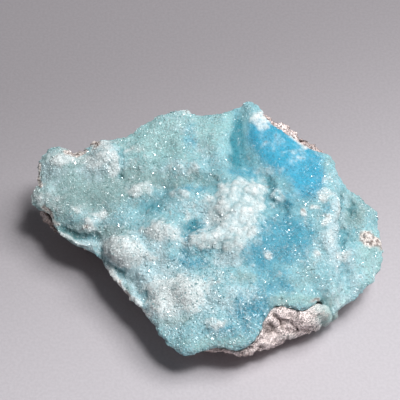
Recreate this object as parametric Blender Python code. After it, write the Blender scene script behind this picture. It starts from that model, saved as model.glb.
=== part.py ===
"""Hemimorphite specimen: a druzy, sea-blue lumpy crust that grew on brown-grey matrix rock.

Lengths in this file are millimetres and become metres as each mesh is made. +Z is up, and the
rock stands on its flat foot at z = 0. The rim, the lumps and the grooves are laid out as the
display view shows them, which looks down on the specimen in a frame of 400 by 400 pixels. Such a
point is (across, down) in that frame's pixels, with its height over the table where that matters.
"""

import math

import bpy
import numpy as np
from mathutils import Vector, noise
from mathutils.geometry import delaunay_2d_cdt

MM = 0.001

# Driving dimensions
SPECIMEN_LENGTH = 72.0
CRUST_THICKNESS = 3.6
DEEPEST_GROOVE = 1.9
RIM_THICKNESS = 2.3
SEAM_GAP = 0.35
CRUST_STEP = 1.22
UNDERSIDE_STEP = 3.2

# The display view
LENGTH_IN_VIEW = 350.0
VIEW_SCALE = SPECIMEN_LENGTH / LENGTH_IN_VIEW
VIEW_MIDDLE = 200.0
VIEW_ELEVATION = math.radians(50.0)
VIEW_DISTANCE = 320.0
VIEW_HEIGHT = 12.0

# The crust's rim, clockwise from the left tip: across, down, height
CRUST_RIM = [
    (31, 197, 13.0), (33, 190, 13.5), (39, 184, 14.5), (37, 168, 15.5),
    (43, 155, 16.5), (54, 146, 17.0), (66, 149, 16.5), (77, 154, 16.0),
    (87, 149, 16.0), (93, 142, 17.0), (103, 139, 17.5), (114, 140, 17.5),
    (128, 135, 18.0), (141, 126, 18.5), (153, 119, 19.2), (157, 115, 19.6),
    (171, 112, 20.0), (186, 110, 20.5), (196, 115, 20.5), (220, 113, 21.0),
    (235, 108, 21.8), (244, 103, 22.5), (252, 102, 22.5), (260, 108, 22.0),
    (266, 119, 21.5), (275, 126, 21.0), (283, 131, 20.5), (291, 136, 20.0),
    (299, 142, 19.5), (308, 147, 19.0), (318, 151, 18.5), (328, 153, 18.0),
    (334, 161, 17.5), (336, 169, 17.0), (341, 180, 16.0), (349, 189, 15.0),
    (358, 195, 14.0), (366, 202, 13.0), (375, 210, 12.5), (379, 219, 12.0),
    (377, 229, 11.5), (381, 241, 11.0), (383, 251, 10.5), (381, 262, 10.0),
    (377, 273, 9.5), (368, 285, 9.0), (357, 295, 8.5), (346, 303, 8.0),
    (337, 310, 7.8), (330, 316, 7.8), (325, 309, 9.0), (322, 299, 10.5),
    (316, 301, 11.5), (311, 305, 12.0), (302, 308, 12.4), (291, 306, 12.6),
    (283, 304, 13.0), (275, 305, 13.0), (269, 310, 12.5), (264, 319, 12.0),
    (259, 332, 11.0), (254, 340, 10.3), (247, 345, 9.9), (239, 348, 9.6),
    (228, 347, 9.5), (218, 345, 9.5), (207, 348, 9.4), (197, 351, 9.0),
    (186, 354, 8.6), (178, 350, 8.9), (171, 344, 9.2), (161, 335, 9.5),
    (152, 320, 10.0), (142, 307, 10.0), (131, 296, 10.0), (122, 287, 10.0),
    (112, 274, 10.0), (104, 262, 10.0), (97, 253, 10.0), (89, 248, 10.2),
    (76, 243, 10.6), (66, 237, 10.9), (58, 230, 11.2), (54, 222, 11.6),
    (51, 214, 12.0), (44, 209, 12.4), (37, 207, 12.4), (33, 204, 12.6),
]

# Heights of the crust inside its rim, like the spot heights of a map: across, down, height
SPOT_HEIGHTS = [
    (60, 165, 17.6), (50, 195, 15.0), (75, 203, 14.6), (68, 216, 13.4),
    (105, 160, 18.4), (110, 190, 15.6), (90, 225, 13.0), (130, 215, 14.8),
    (124, 254, 12.6), (150, 140, 19.3), (150, 180, 17.0), (155, 205, 15.2),
    (190, 133, 20.6), (200, 165, 19.2), (200, 188, 17.4), (170, 236, 15.8),
    (204, 228, 15.8), (222, 132, 21.4), (225, 163, 20.0), (240, 162, 18.0),
    (233, 210, 18.0), (250, 238, 17.2), (266, 190, 16.6), (262, 128, 21.2),
    (285, 155, 19.4), (306, 185, 18.0), (288, 214, 16.4), (325, 170, 18.4),
    (322, 200, 17.6), (331, 235, 16.6), (300, 245, 15.4), (283, 272, 14.6),
    (322, 268, 15.6), (333, 292, 13.2), (308, 294, 13.6), (350, 212, 13.6),
    (346, 238, 12.6), (368, 243, 12.2), (350, 275, 11.2), (345, 294, 9.6),
    (146, 280, 12.4), (190, 292, 13.8), (232, 285, 14.6), (160, 308, 11.8),
    (188, 335, 11.2), (225, 325, 12.2), (250, 318, 12.6), (262, 298, 13.6),
]

# Rounded lumps: across, down, half length, half width, turn in degrees, rise
LUMPS = [
    (123, 251, 4.6, 3.7, -38, 2.7), (146, 260, 2.4, 1.3, -30, 0.9),
    (107, 156, 3.3, 3.3, 0, 1.6), (58, 160, 3.6, 3.4, 0, 1.1),
    (42, 195, 2.4, 2.6, 0, 0.9), (89, 226, 1.8, 1.8, 0, 0.9),
    (72, 192, 3.4, 2.2, 10, 0.5), (141, 193, 2.6, 2.2, 0, 0.8),
    (180, 196, 2.2, 1.8, 0, 0.7), (177, 169, 2.2, 1.3, 0, 0.6),
    (196, 167, 1.8, 1.2, 0, 0.5), (257, 196, 2.7, 3.1, 10, 1.7),
    (238, 194, 3.0, 2.6, 0, 1.2), (223, 205, 2.8, 2.4, 0, 1.0),
    (243, 215, 3.4, 2.8, -10, 1.1), (224, 230, 3.4, 2.6, 0, 1.1),
    (256, 231, 2.6, 2.4, 0, 0.8), (276, 198, 1.5, 2.6, 0, 1.4),
    (171, 230, 3.3, 3.0, 0, 1.5), (150, 233, 3.2, 2.8, 0, 0.8),
    (202, 241, 4.2, 2.2, 8, 1.2), (233, 250, 3.0, 2.8, 15, 1.1),
    (188, 289, 3.2, 3.4, -30, 1.2), (164, 298, 3.4, 3.2, 0, 0.8),
    (216, 290, 2.8, 2.6, 0, 0.6), (253, 275, 1.4, 2.2, 0, 0.5),
    (214, 321, 3.2, 2.6, 0, 0.6), (240, 305, 2.4, 2.0, 0, 0.5),
    (152, 314, 2.0, 3.4, 30, 0.6), (166, 125, 2.8, 2.4, 0, 0.6),
    (180, 146, 2.4, 2.4, 0, 0.5), (216, 148, 3.0, 3.2, 0, 0.9),
    (205, 127, 2.2, 2.0, 0, 0.4), (136, 152, 3.2, 2.4, 15, 0.6),
    (331, 207, 1.7, 3.2, -10, 0.9), (348, 256, 2.2, 2.6, 0, 0.9),
    (360, 214, 2.2, 2.4, 0, 0.5), (372, 240, 1.4, 2.2, 0, 0.7),
    (304, 284, 3.8, 3.6, 0, 0.6), (287, 215, 1.8, 2.0, 0, 0.5),
    (253, 116, 2.0, 2.4, -30, 0.5), (355, 288, 2.6, 2.0, 30, 0.4),
]

# Grooves between the lumps: depth, half width, and the pixels that each follows
GROOVES = [
    (1.9, 0.85, [(56, 221), (64, 227), (77, 234), (90, 237), (101, 236), (104, 246), (107, 258),
                 (114, 267), (124, 274), (133, 281), (139, 289), (144, 297)]),
    (1.5, 1.00, [(141, 289), (146, 295), (149, 299)]),
    (1.6, 0.80, [(262, 176), (268, 189), (268, 203), (276, 211), (284, 211)]),
    (0.8, 1.20, [(84, 178), (104, 180), (120, 179), (133, 174)]),
    (0.6, 2.00, [(132, 183), (160, 179), (190, 182), (215, 184)]),
    (1.0, 1.60, [(138, 211), (152, 203), (164, 190)]),
    (1.0, 0.80, [(183, 226), (184, 240), (179, 250), (190, 260), (203, 256), (216, 250)]),
    (0.8, 1.60, [(190, 227), (204, 221), (212, 228)]),
    (1.7, 2.20, [(236, 114), (237, 130), (238, 146), (243, 158), (252, 170)]),
    (0.6, 2.40, [(262, 262), (252, 292), (246, 322)]),
    (2.1, 1.30, [(345, 199), (345, 214), (342, 228), (338, 241), (340, 256), (345, 274),
                 (346, 290), (344, 302)]),
    (0.6, 1.20, [(306, 198), (292, 206), (282, 222)]),
]

# Ridges: rise, half width, and the pixels that each follows
RIDGES = [
    (1.0, 1.40, [(338, 198), (336, 214), (332, 228), (329, 240), (331, 256), (335, 274),
                 (336, 290), (335, 304)]),
    (0.6, 1.60, [(226, 116), (227, 132), (228, 148), (232, 162)]),
    (0.5, 1.50, [(256, 108), (268, 124), (284, 137), (302, 149)]),
]

# The rock at bearings round its middle, anticlockwise from +X. Outward distances count from the
# crust's rim: bearing, shoulder out, shoulder rise, belly out, belly height, foot share of reach
ROCK_STATIONS = [
    (0, -2.0, -1.6, -2.8, 5.5, 0.56),
    (24, -1.6, -1.6, -2.2, 8.0, 0.55),
    (31, 0.2, -0.8, -0.6, 9.5, 0.55),
    (38, 2.0, -0.5, 0.8, 10.5, 0.55),
    (50, 2.4, -0.6, 1.2, 11.0, 0.56),
    (60, 2.6, -1.0, 1.2, 11.0, 0.57),
    (66, 1.4, -1.6, 0.0, 10.0, 0.58),
    (73, -1.2, -1.6, -1.6, 9.0, 0.60),
    (110, -1.4, -1.6, -2.4, 8.0, 0.60),
    (134, -1.2, -1.6, -1.8, 8.0, 0.56),
    (139, 1.0, -0.8, -1.0, 8.0, 0.55),
    (147, 1.3, -0.8, -1.2, 8.0, 0.53),
    (153, -1.2, -1.6, -1.6, 8.0, 0.50),
    (164, -0.8, -1.8, -0.2, 8.2, 0.46),
    (168, -0.6, -1.8, -0.9, 8.4, 0.46),
    (172, -0.4, -1.8, 0.8, 8.6, 0.46),
    (178, -0.8, -1.8, -0.4, 8.0, 0.46),
    (188, -1.8, -1.8, -2.6, 7.0, 0.48),
    (205, -2.2, -1.8, -4.6, 5.0, 0.52),
    (235, -2.0, -1.8, -4.0, 4.8, 0.56),
    (254, -1.6, -1.8, -2.5, 5.0, 0.60),
    (264, -1.0, -1.8, -1.4, 5.0, 0.62),
    (270, -0.8, -1.8, 0.2, 5.0, 0.63),
    (278, -0.4, -1.8, 0.6, 5.2, 0.64),
    (284, -0.6, -1.8, -1.6, 5.2, 0.65),
    (291, 0.2, -1.6, 0.3, 5.2, 0.67),
    (297, 0.8, -1.4, 2.9, 5.4, 0.70),
    (304, 1.0, -1.4, 4.1, 5.6, 0.72),
    (312, 1.0, -1.4, 2.4, 5.6, 0.70),
    (319, 0.2, -1.6, 1.2, 5.6, 0.66),
    (326, -1.0, -1.8, -0.8, 5.4, 0.62),
    (342, -1.8, -1.8, -2.6, 5.0, 0.58),
]
ROCK_MIDDLE = (1.0, -8.6)
ROCK_BEARINGS = 112
ROCK_TOP_SHARES = (0.22, 0.42, 0.60, 0.75, 0.87, 0.95)
SHOULDER_TO_BELLY = (0.28, 0.55, 0.80)
BELLY_TO_FOOT = (0.22, 0.48, 0.74)
ROCK_RISES_INTO_CRUST = 0.5


def seen_at(across, down, height):
    """Where a point of that height lies in plan, from the pixel where the display view shows it."""
    right = (across - VIEW_MIDDLE) * VIEW_SCALE
    up = (VIEW_MIDDLE - down) * VIEW_SCALE
    lift = height - VIEW_HEIGHT
    sine = math.sin(VIEW_ELEVATION)
    cosine = math.cos(VIEW_ELEVATION)
    y = up * (1 - lift * sine / VIEW_DISTANCE) - lift * cosine
    y /= sine - up * cosine / VIEW_DISTANCE
    x = right * (1 + (y * cosine - lift * sine) / VIEW_DISTANCE)
    return x, y


def grain(points, size, seed):
    """Smooth noise between -1 and 1 at each point, with lumps of about that size."""
    shift = Vector((seed * 17.3, seed * 5.7, seed * 11.1))
    return np.array([noise.noise(Vector(p) / size + shift) for p in points])


def facets(points, size, seed):
    """Offsets like a break's flat faces: each cell about that size has its own level and slope."""
    shift = Vector((seed * 3.1, seed * 7.9, seed * 1.7))
    offsets = []
    for point in points:
        place = Vector(point) / size + shift
        centre = noise.voronoi(place)[1][0]
        slope = 2 * noise.cell_vector(centre) - Vector((1, 1, 1))
        offsets.append(1.2 * noise.cell(centre) - 0.6 + 0.8 * slope.dot(place - centre))
    return np.array(offsets)


def smooth_step(value):
    value = np.clip(value, 0.0, 1.0)
    return value * value * (3 - 2 * value)


def closed_curve(points, step):
    """Points a step apart along a smooth closed curve through the given ones (Catmull-Rom)."""
    points = np.array(points, float)
    fine = []
    for i in range(len(points)):
        a, b, c, d = (points[(i + k) % len(points)] for k in (-1, 0, 1, 2))
        for t in np.linspace(0, 1, 12, endpoint=False):
            fine.append(0.5 * (2 * b + (c - a) * t + (2 * a - 5 * b + 4 * c - d) * t**2
                               + (3 * b - a - 3 * c + d) * t**3))
    fine = np.array(fine + fine[:1])
    along = np.concatenate([[0], np.cumsum(np.linalg.norm(np.diff(fine[:, :2], axis=0), axis=1))])
    count = round(along[-1] / step)
    stops = np.linspace(0, along[-1], count, endpoint=False)
    return np.stack([np.interp(stops, along, fine[:, k]) for k in range(3)], axis=1)


def distance_from_line(x, y, line):
    """Distance of each point from a line through plan points."""
    best = np.full(len(x), np.inf)
    for (ax, ay), (bx, by) in zip(line[:-1], line[1:], strict=True):
        dx, dy = bx - ax, by - ay
        t = np.clip(((x - ax) * dx + (y - ay) * dy) / (dx * dx + dy * dy), 0, 1)
        best = np.minimum(best, np.hypot(x - ax - t * dx, y - ay - t * dy))
    return best


def inside(x, y, ring):
    """True for the plan points inside a closed ring, by counting crossings."""
    found = np.zeros(len(x), bool)
    for (ax, ay), (bx, by) in zip(ring, np.roll(ring, -1, axis=0), strict=True):
        if ay != by:
            crosses = ((ay > y) != (by > y)) & (x < (bx - ax) * (y - ay) / (by - ay) + ax)
            found ^= crosses
    return found


class Ground:
    """The crust's broad form: its rim, and the heights between."""

    def __init__(self):
        rim = [(*seen_at(*point), point[2]) for point in reversed(CRUST_RIM)]
        self.rim = closed_curve(rim, CRUST_STEP)
        spots = [(*seen_at(*spot), spot[2]) for spot in SPOT_HEIGHTS]
        self.stations = np.array([*spots, *self.rim[::3]])
        self.lumps = [(*self.on_surface(*lump[:2]), *lump[2:]) for lump in LUMPS]
        self.lines = [
            (rise, width, [self.on_surface(*pixel) for pixel in line])
            for rise, width, line in [(-depth, *rest) for depth, *rest in GROOVES] + RIDGES
        ]

    def broad_height(self, x, y):
        """Heights between the stations, each weighted by its nearness."""
        x, y = np.atleast_1d(x), np.atleast_1d(y)
        softness = 6.0
        away = (x[:, None] - self.stations[:, 0]) ** 2 + (y[:, None] - self.stations[:, 1]) ** 2
        weight = (away + softness) ** -2
        return (weight * self.stations[:, 2]).sum(axis=1) / weight.sum(axis=1)

    def on_surface(self, across, down):
        """Plan point of the broad surface that the display view shows at this pixel."""
        height = 15.0
        for _ in range(12):
            x, y = seen_at(across, down, height)
            height = float(self.broad_height(x, y)[0])
        return x, y

    def rim_distance(self, x, y):
        ring = np.vstack([self.rim, self.rim[:1]])[:, :2]
        return distance_from_line(x, y, ring)

    def crust_top(self, x, y):
        """Height of the crust's top: the broad form, its rolled rim, lumps, grooves and grain."""
        roll_width, roll_drop = 2.4, 1.0
        edge = self.rim_distance(x, y)
        broad = self.broad_height(x, y)
        height = broad + roll_drop * (1 - np.clip(1 - edge / roll_width, 0, 1) ** 2) - roll_drop * 0.35
        for cx, cy, long, wide, turn, rise in self.lumps:
            angle = math.radians(turn)
            along = (x - cx) * math.cos(angle) + (y - cy) * math.sin(angle)
            across = (y - cy) * math.cos(angle) - (x - cx) * math.sin(angle)
            dome = np.clip(1 - (along / long) ** 2 - (across / wide) ** 2, 0, 1)
            height += rise * dome**0.75
        for rise, width, line in self.lines:
            away = distance_from_line(x, y, line)
            height += rise * np.exp(-((away / width) ** 2)) * smooth_step(edge / 1.6)
        places = np.stack([x, y, np.zeros_like(x)], axis=1)
        inner = smooth_step(edge / 2.0)
        height += inner * (0.38 * grain(places, 3.4, 1) + 0.20 * grain(places, 1.5, 2))
        return np.maximum(height, broad - DEEPEST_GROOVE)

    def crust_underside(self, x, y):
        return self.broad_height(x, y) - CRUST_THICKNESS


def grid_inside(ring, step, margin, seed):
    """Jittered points on a triangular grid inside a ring, no nearer to it than the margin."""
    low, high = ring[:, :2].min(axis=0), ring[:, :2].max(axis=0)
    rows = np.arange(low[1], high[1], step * math.sqrt(3) / 2)
    shifts = [(i % 2) * step / 2 for i in range(len(rows))]
    points = [(x + shift, y) for y, shift in zip(rows, shifts, strict=True)
              for x in np.arange(low[0], high[0], step)]
    rng = np.random.default_rng(seed)
    points = np.array(points) + rng.uniform(-0.17, 0.17, (len(points), 2)) * step
    x, y = points.T
    ring = ring[:, :2]
    kept = inside(x, y, ring)
    kept &= distance_from_line(x, y, np.vstack([ring, ring[:1]])) > margin
    return points[kept]


def sheet(ring, inner):
    """Triangles of the sheet inside a ring of plan points, with the inner points as corners."""
    count = len(ring)
    corners = [Vector(p) for p in np.vstack([ring[:, :2], inner])]
    border = [(i, (i + 1) % count) for i in range(count)]
    made = delaunay_2d_cdt(corners, border, [list(range(count))], 1, 1e-6)
    if len(made[0]) != len(corners):
        raise ValueError("the ring crosses itself")
    index = [origin[0] for origin in made[3]]
    return [tuple(index[i] for i in face) for face in made[2]]


def facing(points, faces, upward):
    """The faces, each turned so that it looks up, or down where upward is False."""
    turned = []
    for a, b, c in faces:
        ab, ac = points[b] - points[a], points[c] - points[a]
        looks_up = ab[0] * ac[1] - ab[1] * ac[0] > 0
        turned.append((a, b, c) if looks_up == upward else (a, c, b))
    return turned


def inset_ring(ring, inward, drop):
    """An anticlockwise ring moved inward in plan and down, by one number or one for each point."""
    ahead = np.roll(ring, -2, axis=0) - np.roll(ring, 2, axis=0)
    normal = np.stack([-ahead[:, 1], ahead[:, 0]], axis=1)
    normal /= np.linalg.norm(normal, axis=1)[:, None]
    moved = ring.copy()
    moved[:, :2] += normal * np.reshape(inward, (-1, 1))
    moved[:, 2] -= drop
    return moved


def band(upper, lower, count):
    """Triangles between two rings of as many points, given their first corners' numbers."""
    faces = []
    for i in range(count):
        j = (i + 1) % count
        faces += [(upper + i, lower + i, lower + j), (upper + i, lower + j, upper + j)]
    return faces


def crust_mesh(ground):
    """Corners and triangles of the crust: top sheet, a rounded broken edge, and underside."""
    rim = ground.rim
    count = len(rim)
    inner = grid_inside(rim, CRUST_STEP, CRUST_STEP * 0.62, 5)
    top = np.column_stack([inner, ground.crust_top(*inner.T)])
    wobble = grain(rim, 2.6, 3)
    edge = inset_ring(rim, 0.0, 0.0)
    upper = inset_ring(rim, 0.10 - 0.30 * wobble, 0.40 * RIM_THICKNESS)
    low = inset_ring(rim, 0.95 + 0.25 * wobble, RIM_THICKNESS * (1.0 + 0.25 * wobble))
    beneath = grid_inside(low, UNDERSIDE_STEP, UNDERSIDE_STEP * 0.55, 6)
    bottom = np.column_stack([beneath, ground.crust_underside(*beneath.T)])

    corners = np.vstack([edge, top, upper, low, bottom])
    upper_at = count + len(top)
    low_at = upper_at + count
    faces = facing(corners, sheet(edge, inner), True)
    under = [
        tuple(i + low_at for i in face)
        for face in sheet(low, beneath)
    ]
    faces += band(0, upper_at, count)
    faces += band(upper_at, low_at, count)
    faces += facing(corners, under, False)
    return corners, faces


def reach_of(ring, middle, bearings):
    """How far the ring reaches from the middle, and its height there, at each bearing."""
    closed = np.vstack([ring, ring[:1]])
    start, end = closed[:-1] - (*middle, 0), closed[1:] - (*middle, 0)
    found = []
    for angle in bearings:
        ray = np.array([math.cos(angle), math.sin(angle)])
        off_start = start[:, 0] * ray[1] - start[:, 1] * ray[0]
        off_end = end[:, 0] * ray[1] - end[:, 1] * ray[0]
        crossing = off_start * off_end <= 0
        share = off_start[crossing] / (off_start[crossing] - off_end[crossing])
        meets = start[crossing] + (end - start)[crossing] * share[:, None]
        reach = meets[:, :2] @ ray
        furthest = int(np.argmax(reach))
        found.append((reach[furthest], meets[furthest, 2]))
    return np.array(found).T


def rock_mesh(ground):
    """Corners and triangles of the matrix rock: rings from its top's middle out and down."""
    bearings = np.linspace(0, 2 * math.pi, ROCK_BEARINGS, endpoint=False)
    stations = np.array(ROCK_STATIONS, float)
    shoulder_out, shoulder_rise, belly_out, belly_height, foot_share = (
        np.interp(np.degrees(bearings), stations[:, 0], stations[:, k], period=360)
        for k in range(1, 6)
    )
    reach, rim_height = reach_of(ground.rim, ROCK_MIDDLE, bearings)
    smooth_reach = (np.roll(reach, 1) + 2 * reach + np.roll(reach, -1)) / 4
    shoulder = smooth_reach + shoulder_out
    shoulder_height = rim_height + shoulder_rise
    belly = smooth_reach + belly_out
    foot = (smooth_reach + np.roll(smooth_reach, 3) + np.roll(smooth_reach, -3)) / 3 * foot_share
    ray = np.stack([np.cos(bearings), np.sin(bearings)])

    def ring(radius, height):
        x, y = ROCK_MIDDLE[0] + radius * ray[0], ROCK_MIDDLE[1] + radius * ray[1]
        return np.column_stack([x, y, np.broadcast_to(height, x.shape)])

    def roughened(points, fade):
        """The ring with a fresh break's relief: facets, ledges and pits, along the bearings."""
        relief = 1.1 * facets(points, 8.0, 7) + 0.6 * facets(points, 4.0, 8)
        relief += 0.35 * grain(points, 2.4, 9)
        moved = points.copy()
        moved[:, :2] += ray.T * (relief * fade)[:, None]
        moved[:, 2] += 0.35 * fade * grain(points, 2.2, 10)
        return moved

    rings = []
    for share in ROCK_TOP_SHARES:
        radius = shoulder * share
        under = ring(radius, 0.0)
        under[:, 2] = ground.crust_underside(under[:, 0], under[:, 1]) + ROCK_RISES_INTO_CRUST
        reached = np.minimum(shoulder, smooth_reach - 0.4)
        climb = smooth_step((radius - (reached - 3.0)) / 3.0)
        under[:, 2] += climb * (shoulder_height - under[:, 2])
        rings.append(under)
    rings.append(roughened(ring(shoulder, shoulder_height), 0.35 * np.ones(ROCK_BEARINGS)))
    for share in SHOULDER_TO_BELLY:
        radius = shoulder + (belly - shoulder) * share
        height = shoulder_height + (belly_height - shoulder_height) * share
        rings.append(roughened(ring(radius, height), np.full(ROCK_BEARINGS, 0.8)))
    rings.append(roughened(ring(belly, belly_height), np.ones(ROCK_BEARINGS)))
    for share in BELLY_TO_FOOT:
        bulge = 0.13 * math.sin(math.pi * share)
        radius = belly + (foot - belly) * (share - bulge)
        rings.append(roughened(ring(radius, belly_height * (1 - share)),
                               np.full(ROCK_BEARINGS, 0.9)))
    sole = ring(foot + 0.8 * grain(ring(foot, 0.0), 5.0, 11), 0.0)
    rings.append(sole)

    crown_height = ground.crust_underside(*ROCK_MIDDLE)[0] + ROCK_RISES_INTO_CRUST
    crown = [(*ROCK_MIDDLE, crown_height)]
    base = [(*ROCK_MIDDLE, 0.0)]
    corners = np.vstack([crown, *rings, base])
    count = ROCK_BEARINGS
    faces = [(0, 1 + i, 1 + (i + 1) % count) for i in range(count)]
    for k in range(len(rings) - 1):
        faces += band(1 + k * count, 1 + (k + 1) * count, count)
    last, first = len(corners) - 1, 1 + (len(rings) - 1) * count
    faces += [(last, first + (i + 1) % count, first + i) for i in range(count)]
    return corners, faces


def grown(corners, faces, distance):
    """The corners moved out along the surface's normals, so that a cut with them leaves a gap."""
    triangles = np.array(faces)
    first, second, third = (corners[triangles[:, k]] for k in range(3))
    across = np.cross(second - first, third - first)
    normals = np.zeros_like(corners)
    for k in range(3):
        np.add.at(normals, triangles[:, k], across)
    normals /= np.linalg.norm(normals, axis=1)[:, None]
    return corners + normals * distance


def finish(name, colour, roughness):
    """A Principled material of one colour."""
    material = bpy.data.materials.new(name)
    material.use_nodes = True
    shader = material.node_tree.nodes["Principled BSDF"]
    shader.inputs["Base Color"].default_value = (*colour, 1.0)
    shader.inputs["Roughness"].default_value = roughness
    shader.inputs["Metallic"].default_value = 0.0
    return material


def add_object(name, corners, faces, middle, material):
    """One closed object, from corners in millimetres, with the specimen's middle at x = y = 0."""
    placed = (corners - (*middle, 0.0)) * MM
    mesh = bpy.data.meshes.new(name)
    mesh.from_pydata(placed.tolist(), [], [tuple(map(int, face)) for face in faces])
    mesh.update()
    if material:
        mesh.materials.append(material)
    made = bpy.data.objects.new(name, mesh)
    bpy.context.scene.collection.objects.link(made)
    return made


def main():
    for old in list(bpy.data.objects):
        bpy.data.objects.remove(old)
    ground = Ground()
    crust, crust_faces = crust_mesh(ground)
    rock, rock_faces = rock_mesh(ground)
    both = np.vstack([crust, rock])[:, :2]
    middle = (both.min(axis=0) + both.max(axis=0)) / 2

    sea_blue = finish("hemimorphite", (0.42, 0.66, 0.70), 0.35)
    brown_grey = finish("matrix", (0.33, 0.28, 0.26), 0.9)
    add_object("hemimorphite_crust", crust, crust_faces, middle, sea_blue)
    matrix_rock = add_object("matrix_rock", rock, rock_faces, middle, brown_grey)

    seat_corners = grown(crust, crust_faces, SEAM_GAP)
    seat = add_object("crust_seat_cutter", seat_corners, crust_faces, middle, None)
    seat.hide_render = True
    seat.display_type = "WIRE"
    cut = matrix_rock.modifiers.new("crust_seat", "BOOLEAN")
    cut.operation = "DIFFERENCE"
    cut.solver = "EXACT"
    cut.object = seat


main()
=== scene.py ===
"""The looks of a hemimorphite specimen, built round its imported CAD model.

The crust's and the rock's solids are refined into fine surfaces with lumps, grains and pits, and a
druse of small wedge-ended crystals grows on the crust. Lengths are millimetres here and become
metres as each mesh is made. Colour patches are laid out in the display view, as (across, down)
pixels of its 400 by 400 frame.
"""

import math

import bpy
import numpy as np
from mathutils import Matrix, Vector, noise


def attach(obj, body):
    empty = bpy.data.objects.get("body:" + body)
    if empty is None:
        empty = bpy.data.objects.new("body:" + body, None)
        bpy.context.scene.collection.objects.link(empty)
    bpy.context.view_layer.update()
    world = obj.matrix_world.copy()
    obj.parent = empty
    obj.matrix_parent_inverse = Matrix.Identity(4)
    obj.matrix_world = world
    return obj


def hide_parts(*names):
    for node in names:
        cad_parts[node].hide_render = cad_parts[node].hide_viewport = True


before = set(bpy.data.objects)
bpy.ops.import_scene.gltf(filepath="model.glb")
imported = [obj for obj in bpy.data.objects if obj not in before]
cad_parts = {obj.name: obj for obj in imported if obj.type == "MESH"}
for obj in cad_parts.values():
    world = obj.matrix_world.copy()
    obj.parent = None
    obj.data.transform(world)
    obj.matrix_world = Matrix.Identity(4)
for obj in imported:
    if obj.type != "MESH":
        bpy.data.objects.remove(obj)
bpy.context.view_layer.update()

MM = 0.001

# The display view: where it looks, how far away it is, and how many millimetres a pixel shows
VIEW_TARGET = Vector((-1.12, 8.98, 12.0))
VIEW_ELEVATION = math.radians(50)
VIEW_DISTANCE = 320.0
FRAME_PIXELS = 400
PIXEL = 72.0 / 350
SENSOR_WIDTH = 36.0
NEAREST_SEEN = 10
FARTHEST_SEEN = 5000

# The lights by name, place, width and power, the place they light, and the room's even glow
LIGHTS = (("key", (195, 5, 440), 290, 1.88), ("glint", (120, -90, 460), 100, 0.95))
LIT_PLACE = (0, 0, 10)
ROOM_BRIGHTNESS = 0.12

# How finely the solids are welded and refined
WELD_DECIMALS = 3
CRUST_SUBDIVISIONS = 2
ROCK_VOXEL = 0.36
# How many rounds of averaging ease the crust's folds and round the rock
EASING_ROUNDS = 40
ROCK_ROUNDS = 3
# The rounds that tell hollows from crests, and how deep a full hollow is
CRUST_HOLLOWS = (12, 0.35)
ROCK_HOLLOWS = (6, 0.3)


def colour(red, green, blue):
    """A linear colour from the 0 to 255 values that a screen shows, by the sRGB curve."""
    shares = np.array([red, green, blue]) / 255
    linear = np.where(shares <= 0.04045, shares / 12.92, ((shares + 0.055) / 1.055) ** 2.4)
    return tuple(float(value) for value in linear)


# The hemimorphite's colours
SEA = colour(140, 189, 198)
SAGE = colour(136, 168, 168)
GREEN = colour(152, 195, 196)
STEEL = colour(74, 153, 175)
SKY = colour(60, 160, 190)
TEAL = colour(42, 128, 144)
PALE = colour(192, 216, 222)
FROST_AND_HIGHLIGHT_WHITE = colour(222, 229, 229)
PINK = colour(236, 226, 220)
ROCK_BROWN = colour(88, 70, 62)
# What painted shade in deep patches and hollows leaves of red, green and blue, and how fast each falls
# where painted shade and random tone darken the colour
SHADE_DEEPENING = (0.34, 0.58, 0.62)
SHADE_FALL = (1.5, 0.9, 0.8)

# The rock's colours
ROCK_PALE = colour(252, 236, 233)
ROCK_GREY = colour(204, 184, 179)
ROCK_DARK_AND_SHADE = colour(72, 56, 48)
ROCK_FILM = colour(166, 202, 200)

# The table's colours, away from the viewer and near, a painted fall of light, and the room's
FLOOR_FAR_PAINTED_DIMMER = colour(152, 147, 151)
FLOOR_NEAR_PAINTED_BRIGHTER = colour(197, 192, 197)
ROOM_COLOUR = colour(236, 240, 245)
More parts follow.
